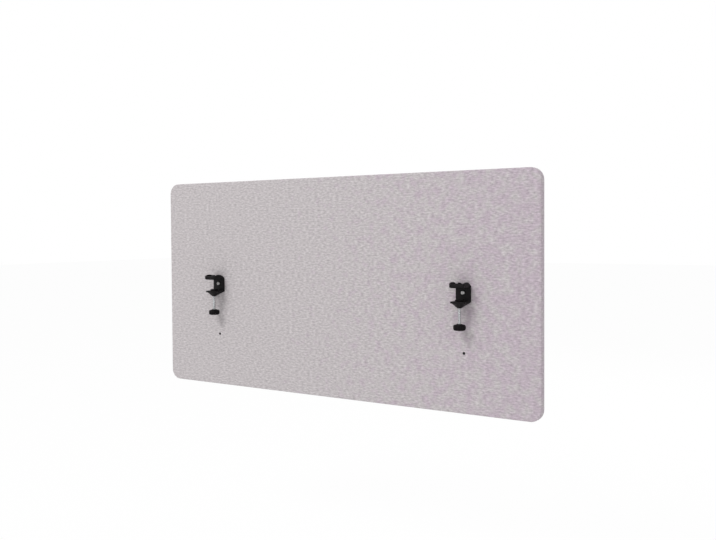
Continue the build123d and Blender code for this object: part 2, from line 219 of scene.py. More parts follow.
class StageSettings(bpy.types.PropertyGroup):
    """Camera, lamps, floor and background."""

    lens: FloatProperty(
        name="Lens",
        description="Focal length in millimetres",
        default=42.24,
        min=1,
        subtype="DISTANCE_CAMERA",
    )
    camera_place: place("Camera place", "Where the camera stands", (1.30293, -1.87878, 0.45221))
    camera_yaw: turn("Camera yaw", "Turn to the left of straight ahead", 0.5752)
    camera_dip: turn("Camera dip", "Tilt below the horizon", 0.0284)
    camera_roll: turn("Camera roll", "Lean of the horizon", -0.0063)
    camera_shift: FloatProperty(
        name="Camera shift", description="Vertical shift, as a share of the picture's width", default=-0.0207
    )
    key_place: place("Key lamp place", "Where the large soft lamp hangs", (-1.5, -3.9, 4.4))
    key_size: length("Key lamp size", "Side of the large soft lamp", 2.3)
    key_power: power("Key lamp power", "Power of the large soft lamp", 142)
    fill_place: place("Fill lamp place", "Where the weaker lamp hangs", (2.6, -2.2, 1.2))
    fill_size: length("Fill lamp size", "Side of the weaker lamp", 1.6)
    fill_power: power("Fill lamp power", "Power of the weaker lamp", 8)
    rear_place: place("Rear lamp place", "Where the lamp behind the screen hangs", (0.6, 3.0, 2.2))
    rear_size: length("Rear lamp size", "Side of the lamp behind the screen", 1.6)
    rear_power: power("Rear lamp power", "Power of the lamp behind the screen", 45)
    ambient: amount("Ambient", "Strength of the even light from all round", 0.58)
    backdrop: colour("Backdrop", "Colour that shows behind the screen", (1.0, 1.0, 1.0))
    floor_drop: length("Floor drop", "Floor below the panel's lower edge", 0.43)
    floor_size: length("Floor size", "Side of the floor", 40.0)
    floor_colour: colour("Floor", "Colour of the floor", (0.90, 0.90, 0.90))
    floor_glow: amount("Floor glow", "Share of the backdrop's colour that the floor shows", 0.96)


class ScreenSettings(bpy.types.PropertyGroup):
    """All settings of the desk screen."""

    cover: PointerProperty(name="Cover", description="Woven covers and seam", type=CoverSettings)
    inner: PointerProperty(name="Inside", description="Layers, frame and fixings", type=InnerSettings)
    clamp: PointerProperty(name="Clamps", description="The two screw clamps", type=ClampSettings)
    stage: PointerProperty(name="Stage", description="Camera, lamps and floor", type=StageSettings)


def settings():
    """The scene's settings for the desk screen."""
    return bpy.context.scene.desk_screen


# Places that more than one piece needs


def spindle_axis(side):
    """The middle line of a clamp's spindle, as a point at height zero."""
    low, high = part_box(f"{side}_spindle")
    return Vector(((low.x + high.x) / 2, (low.y + high.y) / 2, 0))


def insert_heights():
    """The heights of the spare inserts and of the ones that carry the clamps."""
    low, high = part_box("threaded_inserts")
    flange = settings().inner.flange_radius
    return low.z + flange, high.z - flange


def insert_places():
    """Where the four threaded inserts are, at the panel's middle depth."""
    return [Vector((spindle_axis(side).x, 0, height)) for side in SIDES for height in insert_heights()]


def hole_places():
    """Where the inserts need holes in a sheet that is made about the panel's middle."""
    return [spot - Vector((0, 0, MIDDLE_HEIGHT)) for spot in insert_places()]


def ease(share):
    """Rises smoothly from 0 to 1 as share does."""
    share = min(max(share, 0), 1)
    return share * share * (3 - 2 * share)


# Small tools for meshes


def edges_of(parts):
    return [part for part in parts if isinstance(part, bmesh.types.BMEdge)]


def verts_of(parts):
    return [part for part in parts if isinstance(part, bmesh.types.BMVert)]


def points_of(rim):
    return {vert for edge in rim for vert in edge.verts}


def off_axis(vert):
    """How far a point is from the Z axis."""
    return hypot(vert.co.x, vert.co.y)


def move_off_axis(vert, distance):
    """Slides a point straight out from the Z axis, or in, until it is a distance away."""
    scale = distance / off_axis(vert)
    vert.co.x *= scale
    vert.co.y *= scale


def lathe(bm, profile, steps=LATHE_STEPS, closed=False):
    """Turns a profile of (radius, height) points about the Z axis into a solid."""
    points = [bm.verts.new((radius, 0, height)) for radius, height in profile]
    pairs = list(zip(points, points[1:]))
    if closed:
        pairs.append((points[-1], points[0]))
    lines = [bm.edges.new(pair) for pair in pairs]
    bmesh.ops.spin(
        bm, geom=points + lines, cent=(0, 0, 0), axis=(0, 0, 1), angle=2 * pi, steps=steps, use_merge=True
    )
    bmesh.ops.remove_doubles(bm, verts=bm.verts[:], dist=1e-7)
    bmesh.ops.recalc_face_normals(bm, faces=bm.faces[:])


def quarter_arc(centre, radius, start, steps=4):
    """Points (radius, height) on a quarter circle that turns to the right, from an angle in quarter turns."""
    angles = [(start - step / steps) * pi / 2 for step in range(steps + 1)]
    return [(centre[0] + radius * cos(angle), centre[1] + radius * sin(angle)) for angle in angles]


def wind_thread(bm, low, high, foot, crest, pitch):
    """Winds a ridge round the Z axis, from a foot to a crest radius, that fades in and out at its ends."""
    foot_share = 0.46
    crest_share = 0.07
    least_fade = 0.05
    turns = (high - low) / pitch - 1
    steps = round(turns * THREAD_STEPS)
    section = [(foot, -foot_share), (crest, -crest_share), (crest, crest_share), (foot, foot_share)]
    points = [bm.verts.new((radius, 0, low + (0.5 + share) * pitch)) for radius, share in section]
    lines = [bm.edges.new(pair) for pair in zip(points, points[1:] + points[:1])]
    old = set(bm.verts) - set(points)
    bmesh.ops.spin(
        bm, geom=points + lines, cent=(0, 0, 0), axis=(0, 0, 1), dvec=(0, 0, pitch * turns / steps),
        angle=2 * pi * turns, steps=steps, use_merge=False,
    )
    ridge = [vert for vert in bm.verts if vert not in old]
    for vert in ridge:
        radius = off_axis(vert)
        if abs(radius - crest) < abs(radius - foot):
            turned = (vert.co.z - low) / pitch - 0.5
            fade = ease(turned) * ease(turns - turned)
            move_off_axis(vert, foot + (crest - foot) * max(fade, least_fade))
    ends = {edge for vert in ridge for edge in vert.link_edges if edge.is_boundary}
    bmesh.ops.holes_fill(bm, edges=list(ends), sides=4)
    bmesh.ops.recalc_face_normals(bm, faces=list({face for vert in ridge for face in vert.link_faces}))


def hexagon(bm, flats, low, high):
    """A hexagonal prism on the Z axis, given across its flats, with two corners on X."""
    bmesh.ops.create_cone(
        bm, cap_ends=True, segments=6, radius1=flats / sqrt(3), radius2=flats / sqrt(3), depth=high - low,
        matrix=Matrix.Translation((0, 0, (low + high) / 2)) @ Matrix.Rotation(pi / 6, 4, "Z"),
    )


def merged_copy(node):
    """A CAD node's shape with its loose triangles joined into whole faces."""
    bm = bmesh.new()
    bm.from_mesh(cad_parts[node].data)
    bmesh.ops.remove_doubles(bm, verts=bm.verts[:], dist=1e-6)
    bmesh.ops.dissolve_limit(bm, angle_limit=radians(1), verts=bm.verts[:], edges=bm.edges[:])
    return bm


def soften(bm, width, segments):
    """Rounds every edge that turns by more than 35 degrees."""
    sharp = [edge for edge in bm.edges if edge.is_manifold and edge.calc_face_angle() > radians(35)]
    bmesh.ops.bevel(
        bm, geom=sharp, offset=width, offset_type="OFFSET", segments=segments, profile=0.5,
        affect="EDGES", clamp_overlap=True, material=-1,
    )


def copy_into(bm, other):
    """Adds another bmesh to this one and frees it."""
    carrier = bpy.data.meshes.new("carrier")
    other.to_mesh(carrier)
    other.free()
    bm.from_mesh(carrier)
    bpy.data.meshes.remove(carrier)


def finish_piece(bm, name, material, body="panel", replaces=(), smooth_below=radians(35)):
    """Turns a bmesh into a smooth-shaded object that rides on a body."""
    mesh = bpy.data.meshes.new(name)
    bm.to_mesh(mesh)
    bm.free()
    mesh.shade_smooth()
    mesh.set_sharp_from_angle(angle=smooth_below)
    mesh.materials.append(material)
    piece = bpy.data.objects.new(name, mesh)
    bpy.context.scene.collection.objects.link(piece)
    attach(piece, body)
    if replaces:
        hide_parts(*replaces)
    return piece


def finish_clamp_piece(bm, side, name, material, node, body):
    """Moves a shape from the Z axis to a clamp's spindle, where it stands for a node and rides on a body."""
    bmesh.ops.translate(bm, verts=bm.verts[:], vec=spindle_axis(side))
    finish_piece(bm, f"{side}_{name}", material, f"{side}_{body}", [f"{side}_{node}"])


def finish_softened(side, node, name, material, width, segments):
    """Copies a clamp's node with rounded edges into a piece that stands for it on the panel."""
    bm = merged_copy(f"{side}_{node}")
    soften(bm, width, segments)
    finish_piece(bm, f"{side}_{name}", material, replaces=[f"{side}_{node}"])


# Small tools for materials


def add_node(tree, kind, inputs=None, **options):
    """Adds a node with its options, and links or sets its inputs."""
    node = tree.nodes.new(kind)
    for option, value in options.items():
        setattr(node, option, value)
    for name, value in (inputs or {}).items():
        if isinstance(value, bpy.types.NodeSocket):
            tree.links.new(value, node.inputs[name])
        else:
            node.inputs[name].default_value = value
    return node


def new_material(name, **surface):
    """A material with constants set on its Principled shader, such as Roughness=0.5."""
    material = bpy.data.materials.new(name)
    material.use_nodes = True
    shader = material.node_tree.nodes["Principled BSDF"]
    for socket, value in surface.items():
        shader.inputs[socket.replace("_", " ")].default_value = value
    return material, material.node_tree, shader


def connect(tree, shader, **sockets):
    """Links worked-out values to the shader, such as Base_Color=shade."""
    for name, value in sockets.items():
        tree.links.new(value, shader.inputs[name.replace("_", " ")])


def calculate(tree, operation, *values):
    return add_node(tree, "ShaderNodeMath", dict(enumerate(values)), operation=operation).outputs[0]


def half_wave(tree, count):
    """Rises and falls once between each whole number and the next."""
    return calculate(tree, "ABSOLUTE", calculate(tree, "SINE", calculate(tree, "MULTIPLY", count, pi)))


def mix_numbers(tree, share, first, second):
    return add_node(tree, "ShaderNodeMix", {0: share, 2: first, 3: second}, data_type="FLOAT").outputs[0]


def mix_colours(tree, share, first, second, blend="MIX"):
    inputs = {0: share, 6: opaque(first), 7: opaque(second)}
    return add_node(tree, "ShaderNodeMix", inputs, data_type="RGBA", blend_type=blend).outputs[2]


def opaque(value):
    """A colour with its alpha, or a socket as it is."""
    return value if isinstance(value, bpy.types.NodeSocket) else (*value, 1)


def stretch(tree, value, low, high, to_low=0.0, to_high=1.0):
    """Maps a value from one span to another, and stops at its ends."""
    inputs = {"Value": value, "From Min": low, "From Max": high, "To Min": to_low, "To Max": to_high}
    return add_node(tree, "ShaderNodeMapRange", inputs, clamp=True).outputs[0]


def join_axes(tree, x, y, z=0.0):
    return add_node(tree, "ShaderNodeCombineXYZ", {"X": x, "Y": y, "Z": z}).outputs[0]


def scaled(tree, spot, scale):
    """Coordinates, stretched by a scale for each axis."""
    return add_node(tree, "ShaderNodeMapping", {"Vector": spot, "Scale": scale}).outputs[0]


def object_spot(tree, scale=(1, 1, 1)):
    """Object coordinates, stretched by a scale for each axis."""
    return scaled(tree, add_node(tree, "ShaderNodeTexCoord").outputs["Object"], scale)


def mottle(tree, spot, scale, detail=2.0, roughness=0.5):
    """Noise from about 0 to 1. Its scale is in patches a metre where the spot is in metres."""
    inputs = {"Vector": spot, "Scale": scale, "Detail": detail, "Roughness": roughness}
    return add_node(tree, "ShaderNodeTexNoise", inputs).outputs[0]


def toned(base, share):
    """A colour made darker or lighter by a share."""
    return [part * share for part in base]


def relief(tree, height, distance, strength=1.0, under=None):
    """Bump from a height, its distance in metres, on top of another bump if one is given."""
    inputs = {"Height": height, "Distance": distance, "Strength": strength}
    if under is not None:
        inputs["Normal"] = under
    return add_node(tree, "ShaderNodeBump", inputs).outputs[0]


# Materials


def heather_cloth():
    """A plain weave of thick heather yarns, each of which changes shade along its length."""
    cover = settings().cover
    material, tree, shader = new_material(
        "heather_cloth", Roughness=0.92, Specular_IOR_Level=0.25, Sheen_Weight=0.18, Sheen_Roughness=0.55
    )
    cloth = add_node(tree, "ShaderNodeUVMap", uv_map="cloth").outputs[0]
    wander = add_node(tree, "ShaderNodeTexNoise", {"Vector": cloth, "Scale": 170, "Detail": 1.0})
    sway = {0: wander.outputs["Color"], 1: [cover.yarn_sway] * 3, 2: cloth}
    laid = add_node(tree, "ShaderNodeVectorMath", sway, operation="MULTIPLY_ADD")
    axes = add_node(tree, "ShaderNodeSeparateXYZ", {0: laid.outputs[0]}).outputs
    column = calculate(tree, "DIVIDE", axes["X"], cover.yarn_pitch)
    row = calculate(tree, "DIVIDE", axes["Y"], cover.yarn_pitch)
    column_number = calculate(tree, "FLOOR", column)
    row_number = calculate(tree, "FLOOR", row)

    # Round yarns, each of which rises over one neighbour and dips under the next
    warp_round = half_wave(tree, column)
    weft_round = half_wave(tree, row)
    crossing = calculate(tree, "PINGPONG", calculate(tree, "ADD", column_number, row_number), 1.0)
    swing = stretch(tree, crossing, 0, 1, -0.5, 0.5)
    warp_height = calculate(tree, "MULTIPLY_ADD", weft_round, swing, warp_round)
    weft_height = calculate(tree, "SUBTRACT", weft_round, calculate(tree, "MULTIPLY", warp_round, swing))
    weft_on_top = calculate(tree, "GREATER_THAN", weft_height, warp_height)
    mound = stretch(tree, calculate(tree, "MAXIMUM", weft_height, warp_height), 0, 1.5)

    # Each yarn's own shade: slubs along it, and a different tone from its neighbour
    weft_step = 0.83
    warp_step = 0.91
    warp_layer = 7.0
    weft_run = calculate(tree, "DIVIDE", axes["X"], cover.slub_length)
    warp_run = calculate(tree, "DIVIDE", axes["Y"], cover.slub_length)
    weft_spot = join_axes(tree, weft_run, calculate(tree, "MULTIPLY", row_number, weft_step))
    warp_spot = join_axes(tree, calculate(tree, "MULTIPLY", column_number, warp_step), warp_run, warp_layer)
    weft_shade = mottle(tree, weft_spot, 1.0, detail=3.0)
    warp_shade = mottle(tree, warp_spot, 1.0, detail=3.0)
    yarn_shade = mix_numbers(tree, weft_on_top, warp_shade, weft_shade)

    # Bundles of fibres that were dyed alike are longer along the weft, and so are the fibres
    yarn_share = 0.36
    bundle_share = 0.54
    fibre_share = 0.10
    bundles = mottle(tree, scaled(tree, cloth, (100, 265, 1)), 1.0, detail=3.0)
    fibres = mottle(tree, scaled(tree, cloth, (900, 2600, 1)), 1.0, detail=3.0)
    shade = calculate(tree, "MULTIPLY", yarn_shade, yarn_share)
    shade = calculate(tree, "MULTIPLY_ADD", bundles, bundle_share, shade)
    shade = calculate(tree, "MULTIPLY_ADD", fibres, fibre_share, shade)
    darker = stretch(tree, shade, 0.36, 0.50)
    paler = stretch(tree, shade, 0.50, 0.64)
    heather = mix_colours(tree, darker, cover.dark_yarn, cover.warm_yarn)
    heather = mix_colours(tree, paler, heather, cover.pale_yarn)

    # The dye drifts to mauve in patches, more of them towards one side
    drift = 0.40
    patches = calculate(tree, "MULTIPLY_ADD", axes["X"], drift, mottle(tree, cloth, 42.0))
    tint = mix_colours(tree, stretch(tree, patches, 0.54, 0.80), (1, 1, 1), cover.mauve_tint)
    heather = mix_colours(tree, 1.0, heather, tint, "MULTIPLY")

    # The spaces between the yarns lie in shade
    gaps = stretch(tree, mound, 0.1, 0.9, 0.76, 1.0)
    shaded = mix_colours(tree, 1.0, heather, join_axes(tree, gaps, gaps, gaps), "MULTIPLY")
    weave = relief(tree, mound, 0.00022, strength=0.8)
    fuzz = relief(tree, fibres, 0.00006, strength=0.7, under=weave)
    connect(tree, shader, Base_Color=shaded, Normal=fuzz)
    return material


def seam_thread():
    """Twisted sewing thread, with painted shadow between its strands."""
    cover = settings().cover
    material, tree, shader = new_material("seam_thread", Roughness=0.7, Sheen_Weight=0.2)
    twist = mottle(tree, object_spot(tree, (1, 3, 1)), 1500)
    # Painted shadow between the strands: where the twist noise dips, the thread turns darker
    shade = mix_colours(tree, stretch(tree, twist, 0.3, 0.7), cover.painted_strand_shadow, cover.thread_colour)
    connect(tree, shader, Base_Color=shade, Normal=relief(tree, twist, 0.0001))
    return material


def felt(name, base):
    """Pressed fibres that lie in all directions."""
    material, tree, shader = new_material(name, Roughness=0.95, Sheen_Weight=0.3, Specular_IOR_Level=0.2)
    lumps = mottle(tree, object_spot(tree), 60, detail=3.0)
    fibres = mottle(tree, object_spot(tree), 1800, detail=5.0, roughness=0.7)
    dark = toned(base, 0.72)
    shade = mix_colours(tree, stretch(tree, fibres, 0.35, 0.65), dark, base)
    shade = mix_colours(tree, stretch(tree, lumps, 0.3, 0.8, 0.0, 0.35), shade, dark)
    bumps = relief(tree, fibres, 0.0003, strength=0.8, under=relief(tree, lumps, 0.0008))
    connect(tree, shader, Base_Color=shade, Normal=bumps)
    return material


def fibre_board():
    """Soft board of pressed wood fibres."""
    base = settings().inner.pin_board
    material, tree, shader = new_material("fibre_board", Roughness=0.9, Specular_IOR_Level=0.3)
    flakes = mottle(tree, object_spot(tree, (1, 1, 2.5)), 420, detail=5.0, roughness=0.65)
    clouds = mottle(tree, object_spot(tree), 14, detail=3.0)
    shade = mix_colours(tree, stretch(tree, flakes, 0.35, 0.7), toned(base, 0.62), base)
    shade = mix_colours(tree, stretch(tree, clouds, 0.3, 0.8, 0.0, 0.3), shade, toned(base, 0.8))
    connect(tree, shader, Base_Color=shade, Normal=relief(tree, flakes, 0.0002))
    return material


def softwood(name, grain):
    """Planed softwood. The grain scale is small on the axis that it runs along."""
    inner = settings().inner
    material, tree, shader = new_material(name, Roughness=0.62, Specular_IOR_Level=0.35)
    ring_count = 9.0
    pore_fineness = 14
    rings = mottle(tree, object_spot(tree, grain), 1.0, detail=4.0, roughness=0.45)
    bands = calculate(tree, "PINGPONG", calculate(tree, "MULTIPLY", rings, ring_count), 1.0)
    pores = mottle(tree, object_spot(tree, [part * pore_fineness for part in grain]), 1.0, detail=3.0)
    shade = mix_colours(tree, stretch(tree, bands, 0.35, 1.0, 0.0, 0.75), inner.timber, inner.late_wood)
    shade = mix_colours(tree, stretch(tree, pores, 0.55, 0.75, 0.0, 0.3), shade, inner.late_wood)
    rough = stretch(tree, bands, 0.0, 1.0, 0.70, 0.52)
    bumps = relief(tree, pores, 0.00015, strength=0.6)
    connect(tree, shader, Base_Color=shade, Roughness=rough, Normal=bumps)
    return material


def plated_steel(name, base, marks, roughness):
    """Zinc-plated steel with turning marks. The marks scale is large across them."""
    material, tree, shader = new_material(name, Metallic=1.0)
    turned = mottle(tree, object_spot(tree, marks), 1.0, detail=3.0)
    spangle = mottle(tree, object_spot(tree), 260)
    shade = mix_colours(tree, stretch(tree, spangle, 0.3, 0.7), toned(base, 0.86), base)
    rough = stretch(tree, turned, 0.3, 0.7, roughness * 0.8, roughness * 1.3)
    bumps = relief(tree, turned, 0.00003, strength=0.5)
    connect(tree, shader, Base_Color=shade, Roughness=rough, Normal=bumps)
    return material


def powder_coat():
    """Satin black powder coat: fine orange peel, with faint dust on it."""
    base = settings().clamp.powder_coat
    material, tree, shader = new_material("powder_coat", Specular_IOR_Level=0.15)
    peel = mottle(tree, object_spot(tree), 900, detail=3.0, roughness=0.55)
    dust = mottle(tree, object_spot(tree), 120, detail=4.0, roughness=0.65)
    shade = mix_colours(tree, stretch(tree, dust, 0.45, 0.8, 0.0, 0.5), base, toned(base, 2.2))
    rough = stretch(tree, dust, 0.3, 0.75, 0.40, 0.55)
    bumps = relief(tree, peel, 0.00008, strength=0.6)
    connect(tree, shader, Base_Color=shade, Roughness=rough, Normal=bumps)
    return material


def moulded_black():
    """Black moulded plastic with a fine spark-eroded grain."""
    base = settings().clamp.moulded_black
    material, tree, shader = new_material("moulded_black", Specular_IOR_Level=0.10)
    grain = mottle(tree, object_spot(tree), 2600, detail=3.0, roughness=0.6)
    scuffs = mottle(tree, object_spot(tree, (1, 1, 3)), 140, detail=4.0, roughness=0.6)
    shade = mix_colours(tree, stretch(tree, scuffs, 0.5, 0.85, 0.0, 0.5), base, toned(base, 2))
    rough = stretch(tree, grain, 0.3, 0.7, 0.48, 0.62)
    bumps = relief(tree, grain, 0.00004, strength=0.6)
    connect(tree, shader, Base_Color=shade, Roughness=rough, Normal=bumps)
    return material


def grip_rubber():
    """Matt black rubber."""
    base = settings().clamp.rubber
    material, tree, shader = new_material("grip_rubber", Specular_IOR_Level=0.10)
    grain = mottle(tree, object_spot(tree), 1700, detail=4.0, roughness=0.6)
    bloom = mottle(tree, object_spot(tree), 180, detail=3.0)
    shade = mix_colours(tree, stretch(tree, bloom, 0.4, 0.8, 0.0, 0.6), base, toned(base, 1.8))
    rough = stretch(tree, bloom, 0.3, 0.7, 0.74, 0.88)
    connect(tree, shader, Base_Color=shade, Roughness=rough, Normal=relief(tree, grain, 0.00006))
    return material


# The panel's soft parts


def grid_place(share, side, corner, line_count):
    """Where an even grid line, given from -1 to 1, goes, with the corner's lines closer together."""
    line = abs(share) * line_count / 2
    straight_lines = line_count / 2 - CORNER_LINES
    if line <= straight_lines:
        distance = (side - corner) * line / straight_lines
    else:
        distance = side - corner + corner * (line - straight_lines) / CORNER_LINES
    return copysign(distance, share)


def panel_grid(bm, inset):
    """A flat sheet of faces in the panel's outline, drawn in by an inset, about the panel's middle."""
    cover = settings().cover
    sides = (HALF_WIDTH - inset, HALF_HEIGHT - inset)
    corner = cover.corner_radius - inset
    line_counts = [2 * (round((side - corner) / cover.grid_step) + CORNER_LINES) for side in sides]
    bmesh.ops.create_grid(bm, x_segments=line_counts[0], y_segments=line_counts[1], size=1)
    reaches = [side - corner for side in sides]
    for vert in bm.verts:
        spots = [
            grid_place(share, side, corner, count) for share, side, count in zip(vert.co, sides, line_counts)
        ]
        beyond = [max(abs(spot) - reach, 0) for spot, reach in zip(spots, reaches)]
        if all(beyond):
            shrink = max(beyond) / hypot(*beyond)
            rounded = [reach + over * shrink for reach, over in zip(reaches, beyond)]
            spots = [copysign(distance, spot) for distance, spot in zip(rounded, spots)]
        vert.co = (spots[0], 0, spots[1])


def way_out(point):
    """The point that the panel's edge turns about nearest to a point, and the way out from it."""
    corner = settings().cover.corner_radius
    reach_x = HALF_WIDTH - corner
    reach_z = HALF_HEIGHT - corner
    centre = Vector((min(max(point.x, -reach_x), reach_x), 0, min(max(point.z, -reach_z), reach_z)))
    out = Vector((point.x - centre.x, 0, point.z - centre.z)).normalized()
    return centre, out


def fold_profile(depth):
    """Steps down the panel's edge, as (outward, depth) from its outline: round, straight, then tucked in."""
    cover = settings().cover
    radius, tuck = cover.edge_rounding, cover.tuck_radius
    angles = [step / EDGE_STEPS * pi / 2 for step in range(1, EDGE_STEPS + 1)]
    profile = [(radius * (sin(angle) - 1), radius * (1 - cos(angle))) for angle in angles]
    wall = depth - radius - tuck
    wall_steps = max(round(wall / cover.wall_step), 1)
    profile += [(0, radius + wall * step / wall_steps) for step in range(1, wall_steps + 1)]
    angles = [step / TUCK_STEPS * pi / 2 for step in range(1, TUCK_STEPS + 1)]
    profile += [(tuck * (cos(angle) - 1), depth - tuck * (1 - sin(angle))) for angle in angles]
    profile.append((-cover.tuck_depth, depth))
    return profile


def extrude_rim(bm, rim):
    """Extrudes a closed rim of edges, and gives the new rim and its points."""
    made = bmesh.ops.extrude_edge_only(bm, edges=rim)["geom"]
    points = set(verts_of(made))
    return [edge for edge in edges_of(made) if set(edge.verts) <= points], points


def fold_over_edge(bm, flat, depth):
    """Carries the cloth round the panel's edge to the seam, with small gathers round the corners."""
    cover = settings().cover
    rim = [edge for edge in bm.edges if edge.is_boundary]
    travelled = 0
    before = (-cover.edge_rounding, 0)
    for outward, level in fold_profile(depth):
        travelled += hypot(outward - before[0], level - before[1])
        before = (outward, level)
        rim, points = extrude_rim(bm, rim)
        for vert in points:
            centre, out = way_out(vert.co)
            corner_share = atan2(abs(out.z), abs(out.x)) / (pi / 2)
            wave = (1 - cos(2 * pi * CORNER_GATHERS * corner_share)) / 2
            spot = centre + out * (cover.corner_radius + outward - cover.gather * wave * ease(level / depth))
            vert.co = (spot.x, level, spot.z)
            vert[flat] = centre + out * (cover.corner_radius - cover.edge_rounding + travelled)


def open_hole(bm, flat, spot):
    """Opens a round hole in a cover at a spot, with its rim turned in."""
    cover = settings().cover
    rim = cut_round(bm, spot, cover.hole_radius + cover.hole_dimple)
    for vert in points_of(rim):
        vert[flat] = vert.co
    # Each step's width as a share of the dimple, and its depth as a share of the cloth's thickness
    for width_share, depth_share in ((0.35, 0.2), (0, 0.6), (0, 1)):
        rim, points = extrude_rim(bm, rim)
        for vert in points:
            move_to_circle(vert, spot, cover.hole_radius + width_share * cover.hole_dimple)
            vert.co.y = depth_share * cover.thickness
            vert[flat] = Vector((vert.co.x, 0, vert.co.z))


def cut_round(bm, spot, radius):
    """Cuts a round hole in a flat grid at a spot, and gives its rim of edges."""

    def distance(vert):
        return hypot(vert.co.x - spot.x, vert.co.z - spot.z)

    middle = min(bm.verts, key=distance)
    middle.co.x, middle.co.z = spot.x, spot.z
    made = bmesh.ops.bevel(
        bm, geom=[middle], offset=radius, offset_type="OFFSET", segments=6, profile=0.5,
        affect="VERTICES", clamp_overlap=False, material=-1,
    )
    bmesh.ops.delete(bm, geom=made["faces"], context="FACES")
    rim = [
        edge for edge in bm.edges
        if edge.is_boundary and all(distance(vert) < 2 * radius for vert in edge.verts)
    ]
    for vert in points_of(rim):
        move_to_circle(vert, spot, radius)
    return rim


def move_to_circle(vert, centre, radius):
    """Slides a point in the panel's plane until it is a radius away from a centre."""
    out = Vector((vert.co.x - centre.x, 0, vert.co.z - centre.z)).normalized() * radius
    vert.co.x = centre.x + out.x
    vert.co.z = centre.z + out.z


def face_rise(x, z, plates):
    """How far the front cover stands proud at a place on its face."""
    cover = settings().cover
    edge = min(HALF_WIDTH - abs(x), HALF_HEIGHT - abs(z)) - cover.edge_rounding
    ripple = cover.ripple * noise(Vector((x, z, 0)) / cover.ripple_length)
    rise = (cover.crown + ripple) * ease(edge / cover.crown_run)
    for low, high in plates:
        gap = hypot(max(low.x - x, x - high.x, 0), max(low.z - z, z - high.z, 0))
        rise = rise * ease(gap / cover.plate_run) - cover.plate_dip * (1 - ease(gap / cover.plate_run))
    return rise


def plate_areas():
    """Where the clamps' plates lie on the cover, about the panel's middle."""
    clamp = settings().clamp
    screw_height = insert_heights()[1] - MIDDLE_HEIGHT
    areas = []
    for side in SIDES:
        low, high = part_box(f"{side}_bracket")
        low.z = screw_height - clamp.plate_below_screw
        high.z = screw_height + clamp.plate_above_screw
        areas.append((low, high))
    return areas


def make_cover(name, face, seam, holes, material, replaces):
    """One woven cover: its face, the fold over the panel's edge and the tuck at the seam."""
    cover = settings().cover
    bm = bmesh.new()
    panel_grid(bm, cover.edge_rounding)
    flat = bm.verts.layers.float_vector.new("flat")
    for vert in bm.verts:
        vert[flat] = vert.co
    fold_over_edge(bm, flat, abs(seam - face) - cover.seam_gap)
    for spot in holes:
        open_hole(bm, flat, spot)
    plates = plate_areas() if holes else []
    for vert in bm.verts:
        if abs(vert.co.y) < cover.thickness:
            vert.co.y -= face_rise(vert.co.x, vert.co.z, plates)
    inward = copysign(1, seam - face)
    bmesh.ops.transform(
        bm, verts=bm.verts[:],
        matrix=Matrix.Translation((0, face, MIDDLE_HEIGHT)) @ Matrix.Diagonal((1, inward, 1, 1)),
    )
    bmesh.ops.recalc_face_normals(bm, faces=bm.faces[:])
    cloth_map = bm.loops.layers.uv.new("cloth")
    for face_of_cloth in bm.faces:
        for loop in face_of_cloth.loops:
            loop[cloth_map].uv = (loop.vert[flat].x, loop.vert[flat].z)
    bm.verts.layers.float_vector.remove(flat)
    piece = finish_piece(bm, name, material, replaces=replaces, smooth_below=radians(70))
    solid = piece.modifiers.new("cloth thickness", "SOLIDIFY")
    solid.thickness = cover.thickness
    solid.offset = -1
    return piece


def out_and_along(quarters):
    """The way out from the panel's outline and the way along it, after a turn in quarters."""
    angle = quarters * pi / 2
    out = Vector((cos(angle), 0, sin(angle)))
    return out, Vector((-out.z, 0, out.x))


def seam_places(spacing):
    """Evenly spaced places round the panel's outline, each with the way out and the way along."""
    corner = settings().cover.corner_radius
    reach_x = HALF_WIDTH - corner
    reach_z = HALF_HEIGHT - corner
    for quarter, (sign_x, sign_z) in enumerate(((1, 1), (-1, 1), (-1, -1), (1, -1))):
        centre = Vector((sign_x * reach_x, 0, sign_z * reach_z))
        steps = round(corner * pi / 2 / spacing)
        for step in range(steps):
            out, along = out_and_along(quarter + step / steps)
            yield centre + out * corner, out, along
        out, along = out_and_along(quarter + 1)
        run = 2 * (reach_x if quarter % 2 == 0 else reach_z)
        steps = round(run / spacing)
        for step in range(steps):
            yield centre + out * corner + along * run * step / steps, out, along


def make_stitches(material):
    """Small slip stitches that close the seam all round the panel's edge."""
    slant = 0.25
    sunk = 0.0001
    cover = settings().cover
    half_size = Matrix.Diagonal((cover.stitch_radius, cover.stitch_length / 2, cover.stitch_radius, 1))
    stitch = bmesh.new()
    bmesh.ops.create_uvsphere(stitch, u_segments=6, v_segments=5, radius=1, matrix=half_size)
    bm = bmesh.new()
    for spot, out, along in seam_places(cover.stitch_spacing):
        across = (Vector((0, 1, 0)) + along * slant).normalized()
        turned = Matrix((out, across, out.cross(across))).transposed().to_4x4()
        seated = Matrix.Translation(spot + Vector((0, SEAM, MIDDLE_HEIGHT)) - out * sunk)
        single = stitch.copy()
        bmesh.ops.transform(single, verts=single.verts[:], matrix=seated @ turned)
        copy_into(bm, single)
    stitch.free()
    return finish_piece(bm, "seam_stitches", material)


class DESKSCREEN_OT_covers(bpy.types.Operator):
    """Make the two woven covers and the stitches of their seam"""

    bl_idname = "desk_screen.covers"
    bl_label = "Covers"

    def execute(self, context):
        cloth = heather_cloth()
        stitches = make_stitches(seam_thread())
        front = make_cover("woven_front_cover", FRONT_FACE, SEAM, hole_places(), cloth, ["front_cover"])
        rear = make_cover("woven_rear_cover", REAR_FACE, SEAM, [], cloth, ["rear_cover"])
        return {"FINISHED"}


def uneven(bm, height):
    """Moves points a little along their normals, as in needled or pressed felt."""
    bumps_per_metre = 90
    bm.normal_update()
    for vert in bm.verts:
        vert.co += vert.normal * height * noise(vert.co * bumps_per_metre)


